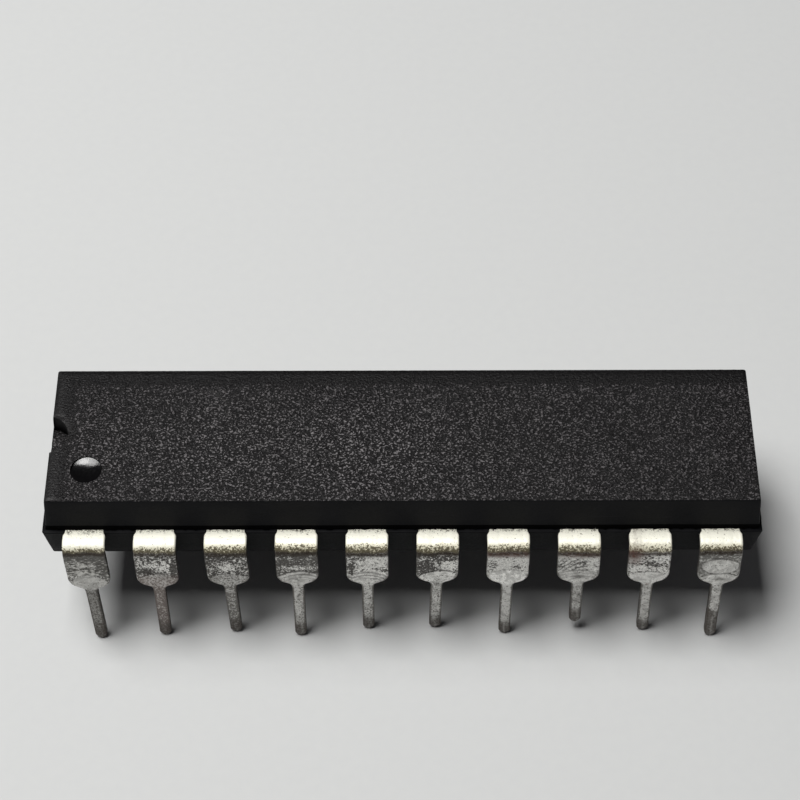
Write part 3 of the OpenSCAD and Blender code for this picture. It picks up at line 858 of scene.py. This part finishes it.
def leadMarks(look, u, z, downs, face, half, seed):
    # Values between 0 and 1 over the lead's surface that its material reads
    onLeg = downs > 1.0
    outside = downs > -1.0
    broad = wavyField(200 + seed, 24, 0.5, 1.6)(u * half, z)
    edgy = wavyField(300 + seed, 40, 0.08, 0.4)(u * half + 5.0, z)
    isFace = smooth(-0.2, 0.6, face)
    pinPart = smooth(3.32, 3.08, z - look["rise"]) * onLeg
    arc, solder, outline = solderShare(look, u, z, onLeg, edgy)

    blobs = {kind: np.zeros_like(u) for kind in ("light", "dark", "brown")}
    for kind, cu, cz, du, dz, strength in look["patches"]:
        blob = np.exp(-((u - cu) / du) ** 2 - ((z - cz + 0.02 * edgy) / dz) ** 2)
        blobs[kind] += strength * blob * outside
    light, dark, brown = blobs.values()

    # Bend: pale metal with a painted highlight, then an olive speckle, then a dark line and band, partly
    # tarnish and partly painted dark reflection
    bend = downs + 0.02 * broad + 0.015 * edgy
    # Pale metal with a painted highlight of the lamp over the shoulder and the upper bend
    freshAndHighlit = smooth(0.77, 0.67, bend) * outside
    white = look["white"]
    speckle = 0.5 * smooth(white - 0.06, white + 0.06, bend) + 0.5 * smooth(white, 0.72, bend)
    # A dark line and band under the bend: partly tarnish and partly painted dark reflection of the room
    line = hill(bend, 0.81, 0.08)
    tarnishAndShade = look["tarnishAndShade"] * hill(bend, 0.77, 0.16) * outside
    innerPits = smooth(-0.55 + look["dents"], -1.0, downs + 0.1 * edgy) * outside

    # Rings in the solder that follow its upper edge, and dark curved lines above it
    rings = look["lines"] * np.maximum(np.cos((arc - z) * 2 * math.pi / 0.185 + 0.3 * broad), 0) ** 2
    rings = rings * smooth(arc - 0.5, arc - 0.3, z) * solder
    sweeps = smooth(0.35, 0.85, np.cos((z - 0.4 * u + 0.32 * u ** 2 + 0.02 * edgy) * 2 * math.pi / 0.27))
    sweeps = look["sweep"] * sweeps * smooth(arc, arc + 0.05, z) * smooth(5.0, 4.8, z) * onLeg
    sweeps = sweeps * smooth(0.7, 0.1, u)
    # The solder has a bright rim along the outline of the wide part
    light = light + 0.5 * smooth(0.86, 0.97, np.abs(u)) * (1 - pinPart) * solder
    light = light + 0.9 * look["rim"] * hill(z - arc, -0.035, 0.022) * solder
    brightness = look["solder"] * (1 - pinPart) + look["pin"] * pinPart

    # The tip is bare and brown, with a lighter streak
    bareTo = look["short"] + look["bare"]
    tip = smooth(bareTo, bareTo - look["sharp"], z + 0.06 * edgy + 0.05 * broad)
    tip = tip * (1 - 0.4 * hill(u + 0.2 * broad, 0.2, 0.3))
    # Painted shade: dark edges along the rounded sides of the pin and the wide part
    edges = smooth(0.82, 1.0, np.abs(u)) * pinPart + smooth(0.9, 1.0, np.abs(u)) * (1 - pinPart) * 0.6
    # Darkening: the bare tip's dirt, and the dark line under the bend as painted dark reflection
    grimeAndShade = np.maximum(0.95 * tip * onLeg, line)
    grimeAndShade = np.maximum(grimeAndShade, 0.15 * edges * onLeg)
    # The back face, from the shoulder on, is darker too
    grimeAndShade = np.maximum(grimeAndShade, 0.8 * (1 - isFace) * smooth(-0.6, 0.1, downs))
    return {
        "freshAndHighlit": freshAndHighlit * isFace, "speckle": speckle * look["pale"], "innerPits": innerPits,
        "tarnishAndShade": tarnishAndShade * isFace, "grimeAndShade": np.clip(grimeAndShade, 0, 1), "covered": solder,
        "solder": np.clip(brightness + 0.5 * light - dark, 0, 1),
        # More dark pits along the edges, partly painted shade
        "pits": np.clip(look["pits"] + 0.15 * pinPart + 0.9 * edges * onLeg, 0, 1.3),
        "mottle": look["mottle"] * np.ones_like(u), "tone": np.clip(look["tone"] + light - dark, 0, 1),
        "rust": np.clip(brown, 0, 1), "lines": np.clip(rings + sweeps + outline, 0, 1),
        "pink": look["pink"] * smooth(4.1, 3.6, z) * onLeg,
        "streak": look["streak"] * smooth(3.9, 4.1, z) * onLeg,
    }, solder, pinPart


def makeLead(number, place, given, back, paint):
    # The section carried along the stations, thickened by plating and solder
    look = {**usualLead, **given}
    fine = 0 if back else 1
    shape = sectionShape(14 + 18 * fine, 8 + 4 * fine, 3)
    centres, widths, normals, downs = leadStations(place, look, fine)
    half = np.linalg.norm(widths, axis=1)[:, None]
    widthDir = widths / half
    t = lead["thickness"] / 2
    ones = np.ones((len(centres), len(shape)))
    z = centres[:, 2][:, None] * ones
    downs = downs[:, None] * ones
    u, face = shape[:, 0] * ones, shape[:, 1] * ones
    layers, solder, pinPart = leadMarks(look, u, z, downs, face, half, number)

    # Solder bulges in the middle and rounds the pin
    crown = 1 - u ** 2
    thin, bulge = lead["solder"]
    relief = wavyField(100 + number, 60, 0.12, 0.55)(u * half + 3.0, z)
    coat = lead["plating"] + solder * (thin + bulge * crown) + lead["pinBulge"] * pinPart * crown
    coat = smooth(-1.0, -0.9, downs) * (coat + lead["relief"] * relief)
    low = look["short"]
    coat = coat - smooth(low + 0.3, low, z) * (downs > 1.0) * lead["tipTaper"]
    sideCoat = np.clip(coat, -1.0, 0.01)
    wide, pin, inside = lead["round"]
    radius = np.where(downs > -1.0, wide - (wide - pin) * pinPart, inside)
    sideways = shape[:, 0] * (half - radius) + shape[:, 2] * (radius + sideCoat)
    upward = shape[:, 1] * (t - radius) + shape[:, 3] * (radius + coat)
    points = centres[:, None] + widthDir[:, None] * sideways[..., None] + normals[:, None] * upward[..., None]
    points[..., 2] = np.maximum(points[..., 2], 0.0)

    flat = points.reshape(-1, 3)
    if back:
        flat = flat * (-1, -1, 1)
    index = np.arange(len(flat)).reshape(len(centres), len(shape))
    faces = ringFaces(index) + [index[0].tolist(), index[-1].tolist()[::-1]]
    name = "lead_%02d" % number
    makePiece(name + "_skin", flat, faces, [paint], None, layers, name)


tin = {
    "skin": ((0.04, 0.037, 0.034), (0.12, 0.113, 0.105)),  # dark skin
    "flake": ((0.52, 0.51, 0.485), (0.88, 0.87, 0.835)),  # white flakes in it
    "drawn": ((0.055, 0.051, 0.046), (0.62, 0.61, 0.58)),
    "plain": ((0.22, 0.215, 0.2), (0.46, 0.455, 0.43)),
    "solder": ((0.11, 0.105, 0.096), (0.98, 0.97, 0.935)),  # dull and bright
    "solderGrey": (0.32, 0.31, 0.29), "solderWhite": (1.0, 0.99, 0.96), "solderDark": (0.13, 0.124, 0.115),
    "pit": (0.085, 0.077, 0.068), "line": (0.07, 0.065, 0.06), "pink": (0.3, 0.19, 0.17),
    # Dark brown for the dirt on the tips and for painted shade on the lead
    "dirtAndShade": (0.05, 0.038, 0.027),
    "cream": ((0.99, 0.98, 0.85), (0.8, 0.75, 0.54)),  # pale tin with a painted highlight: above and in the speckle
    "creamPit": (0.4, 0.37, 0.26), "olive": (0.08, 0.064, 0.03), "dent": (0.12, 0.11, 0.085),
    # Dark band under the bend: partly tarnish, partly painted dark reflection
    "tarnishAndShade": (0.028, 0.019, 0.011), "rust": (0.1, 0.042, 0.027),
}


def leadPaint():
    # Tin and old solder: cream with a painted highlight over the bend, mottled below, smoother where solder
    # covers it
    paint = Paint("tinned_lead_finish")
    freshAndHighlit, grimeAndShade = paint.layer("freshAndHighlit"), paint.layer("grimeAndShade")
    speck = paint.noise(0.075, 2.5, 0.6, 0.4)
    blotch = paint.noise(0.28, 3.0, 0.55, 0.6)
    fine = paint.noise(0.042, 2.0, 0.6, 0.5)
    streaks = paint.noise(0.06, 2.5, 0.6, 0.5, paint.stretched((0.42, 1.0, 1.0)))
    shade = paint.ramp(fine, 0.34, 0.66)

    # Bare part: a dark skin broken by white flakes
    both = paint.plus(paint.times(speck, 0.6), paint.times(blotch, 0.26))
    both = paint.plus(both, paint.times(fine, 0.14))
    limit = paint.ramp(paint.layer("tone"), 0.0, 1.0, 0.61, 0.39)
    flakes = paint.ramp(paint.minus(both, limit), -0.045, 0.06)
    grey = paint.mix(flakes, paint.mix(shade, *tin["skin"]), paint.mix(shade, *tin["flake"]))
    lined = paint.mix(paint.ramp(paint.minus(streaks, limit), -0.06, 0.1), *tin["drawn"])
    plain = paint.mix(paint.ramp(streaks, 0.35, 0.65), *tin["plain"])
    bare = paint.mix(paint.layer("mottle"), plain, paint.mix(paint.layer("streak"), grey, lined))

    # Soldered part: smoother and lighter, pitted
    soldered = paint.mix(paint.layer("solder"), *tin["solder"])
    soldered = paint.mix(paint.times(paint.ramp(both, 0.42, 0.6), 0.55), soldered, tin["solderGrey"])
    soldered = paint.mix(paint.times(shade, 0.22), soldered, tin["solderWhite"])
    soldered = paint.mix(paint.times(paint.ramp(blotch, 0.46, 0.6), 0.3), soldered, tin["solderDark"])
    holes = paint.ramp(paint.layer("pits"), 0.0, 1.3, 0.3, 0.62)
    holes = paint.ramp(paint.minus(speck, holes), 0.05, -0.05)
    soldered = paint.mix(paint.times(holes, 0.8), soldered, tin["pit"])
    colour = paint.mix(paint.layer("covered"), bare, soldered)
    colour = paint.mix(paint.times(paint.layer("lines"), 0.85), colour, tin["line"])
    colour = paint.mix(paint.times(paint.layer("pink"), 0.3), colour, tin["pink"])
    # Dirt on the tips, and painted shade along the edges and in the dark line under the bend
    dirtAndShade = paint.times(grimeAndShade, paint.ramp(both, 0.38, 0.6, 1.0, 0.84))
    colour = paint.mix(dirtAndShade, colour, tin["dirtAndShade"])

    # Bend: cream metal with a painted highlight, pitted along the body, with olive spots lower down
    spots = paint.noise(0.072, 2.0, 0.65, 0.8)
    speckle = paint.layer("speckle")
    cream = paint.mix(speckle, *tin["cream"])
    cream = paint.mix(paint.ramp(speck, 0.33, 0.26), cream, tin["creamPit"])
    olive = paint.minus(spots, paint.ramp(speckle, 0.0, 1.0, 0.68, 0.41))
    cream = paint.mix(paint.ramp(olive, -0.03, 0.05, 0.0, 0.92), cream, tin["olive"])
    dents = paint.times(paint.layer("innerPits"), paint.ramp(spots, 0.51, 0.44))
    cream = paint.mix(dents, cream, tin["dent"])
    colour = paint.mix(freshAndHighlit, colour, cream)
    # Dark band under the bend, partly tarnish and partly painted dark reflection
    tarnishAndShade = paint.times(paint.layer("tarnishAndShade"), paint.ramp(spots, 0.46, 0.6, 1.0, 0.45))
    colour = paint.mix(tarnishAndShade, colour, tin["tarnishAndShade"])
    brown = paint.times(paint.layer("rust"), paint.ramp(both, 0.36, 0.56, 0.35, 1.0))
    colour = paint.mix(brown, colour, tin["rust"])

    # Dirt with painted shade, and the pale metal of the bend with its painted highlight, mirror less than the
    # rest
    roughness = paint.ramp(both, 0.3, 0.7, 0.56, 0.42)
    metallic = paint.minus(1.0, paint.times(grimeAndShade, 0.8))
    metallic = paint.minus(metallic, paint.times(freshAndHighlit, 0.85))
    return paint.finish(colour, roughness, paint.bump(fine, 0.004, paint.bump(speck, 0.014)), metallic)


# Pieces inside the body, which stay as the CAD model has them

innerLook = {
    # By the start of the node's name: material, metallic, noise with its lump in mm, stretch, colours,
    # roughness and height of the relief in mm
    "bond_wire": ("gold_wire", 1.0, (0.02, 2.0, 0.5), None,
                  ((0.9, 0.62, 0.2), (0.96, 0.74, 0.3)), 0.2, 0.0005),
    "die_paddle": ("paddle_copper", 1.0, (0.12, 3.0, 0.6), (0.08, 1.0, 1.0),
                   ((0.72, 0.4, 0.26), (0.86, 0.56, 0.4)), (0.28, 0.42), 0.002),
    "die_attach": ("silver_glue", 0.4, (0.05, 4.0, 0.7), None,
                   ((0.45, 0.45, 0.43), (0.75, 0.75, 0.72)), 0.6, 0.01),
    "silicon_die": ("silicon_polish", 0.85, (0.25, 5.0, 0.6), (1.0, 1.0, 0.1),
                    ((0.2, 0.23, 0.3), (0.38, 0.42, 0.52)), (0.12, 0.3), 0.001),
}


def dressInside():
    # The two colours, the roughness and the relief of each material follow one noise
    for start, (name, metallic, noise, stretch, colours, roughness, relief) in innerLook.items():
        paint = Paint(name, Metallic=metallic)
        lumps = paint.noise(*noise, 0.0, paint.stretched(stretch) if stretch else None)
        if isinstance(roughness, tuple):
            roughness = paint.ramp(lumps, 0.3, 0.7, *roughness)
        material = paint.finish(paint.mix(lumps, *colours), roughness, paint.bump(lumps, relief))
        for node in [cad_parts[key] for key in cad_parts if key.startswith(start)]:
            node.data.materials.clear()
            node.data.materials.append(material)


bpy.context.scene.view_settings.view_transform = "Standard"
makeCamera(cameraLook)
makeLight(lightLook)
makeFloor(floorLook)
print("camera, light and floor made")
makeBody([topPaint(), wallPaint(), dimplePaint(),
          # Black painted shade for the foot of the upper walls and the dimple's rim
          darkPaint("moulded_painted_shade", 0.02, 0.09, 0.8, 0.004, mould["blackShade"]),
          # Darker paint for the far wall of the notch, as painted shade
          darkPaint("notch_wall", 0.04, 0.07, 0.55, 0.002, mould["notch"])])
print("moulded body made")
tinned = leadPaint()
for place, look in enumerate(frontLeads):
    makeLead(place + 1, place, look, False, tinned)
    makeLead(place + 1 + lead["perSide"], place, backLead, True, tinned)
print("leads made")
dressInside()
print("inner pieces dressed")
